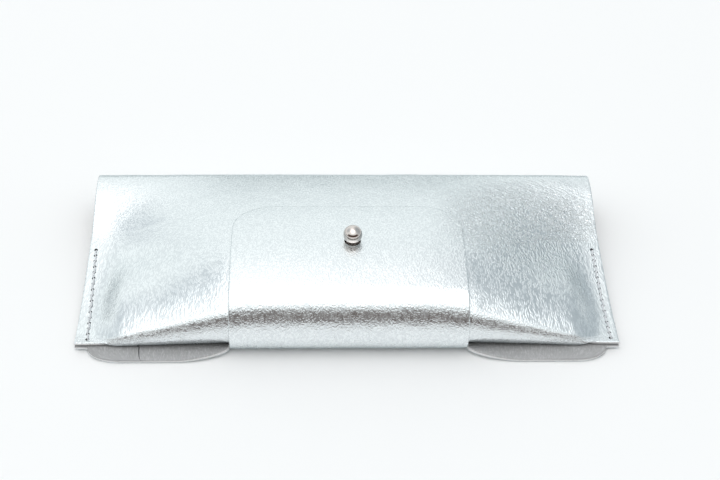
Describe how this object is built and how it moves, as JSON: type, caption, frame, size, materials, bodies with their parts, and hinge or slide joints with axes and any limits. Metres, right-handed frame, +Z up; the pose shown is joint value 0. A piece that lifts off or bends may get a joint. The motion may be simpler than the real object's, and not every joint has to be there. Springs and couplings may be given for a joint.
{
  "type": "eyeglasses case",
  "caption": "Slim glasses sleeve folded from one sheet of metallic leather, stitched at both sides, with a wrap-over tongue flap that buttons on a ball stud.",
  "frame": {"origin": "on the flat underside of the back panel, where the case rests on a table, on its centre line and 38 mm from the mouth line towards the fold", "axes": "+X along the case, to the right when the mouth faces the viewer; +Y from the mouth to the fold; +Z up out of the back panel, towards the flap"},
  "size_m": [0.17, 0.084, 0.0304],
  "materials": {
    "metallic_leather": "silver foil finish over a fine pebble grain, satin sheen, matt grey flesh side",
    "nickel_plate": "polished nickel plate",
    "seam_thread": "waxed light grey thread, twisted"
  },
  "bodies": {
    "pouch": {"leather_body": "metallic_leather", "left_seam_thread": "seam_thread", "right_seam_thread": "seam_thread", "stud_post": "nickel_plate", "stud_screw": "nickel_plate"},
    "lower_bend": {"flap_lower_bend": "metallic_leather"},
    "middle_bend": {"flap_middle_bend": "metallic_leather"},
    "upper_bend": {"flap_upper_bend": "metallic_leather"},
    "tongue": {"flap_tongue": "metallic_leather", "buttonhole_lips": "metallic_leather"}
  },
  "joints": [
    {"name": "flap_root_hinge", "type": "hinge", "parent": "pouch", "child": "lower_bend", "pos_m": [0, -0.03825, 0.00111], "axis": [1, 0, 0], "range_deg": [0, 42]},
    {"name": "flap_lower_hinge", "type": "hinge", "parent": "lower_bend", "child": "middle_bend", "pos_m": [0, -0.04199, 0.00573], "axis": [1, 0, 0], "range_deg": [0, 43]},
    {"name": "flap_middle_hinge", "type": "hinge", "parent": "middle_bend", "child": "upper_bend", "pos_m": [0, -0.04101, 0.01457], "axis": [1, 0, 0], "range_deg": [0, 43]},
    {"name": "flap_upper_hinge", "type": "hinge", "parent": "upper_bend", "child": "tongue", "pos_m": [0, -0.03492, 0.02173], "axis": [1, 0, 0], "range_deg": [0, 45], "deforming": ["buttonhole_lips"]}
  ],
  "couplings": [
    {"joint": "flap_lower_hinge", "follows": "flap_root_hinge", "ratio": 1},
    {"joint": "flap_middle_hinge", "follows": "flap_root_hinge", "ratio": 1},
    {"joint": "flap_upper_hinge", "follows": "flap_root_hinge", "ratio": 1.05}
  ]
}
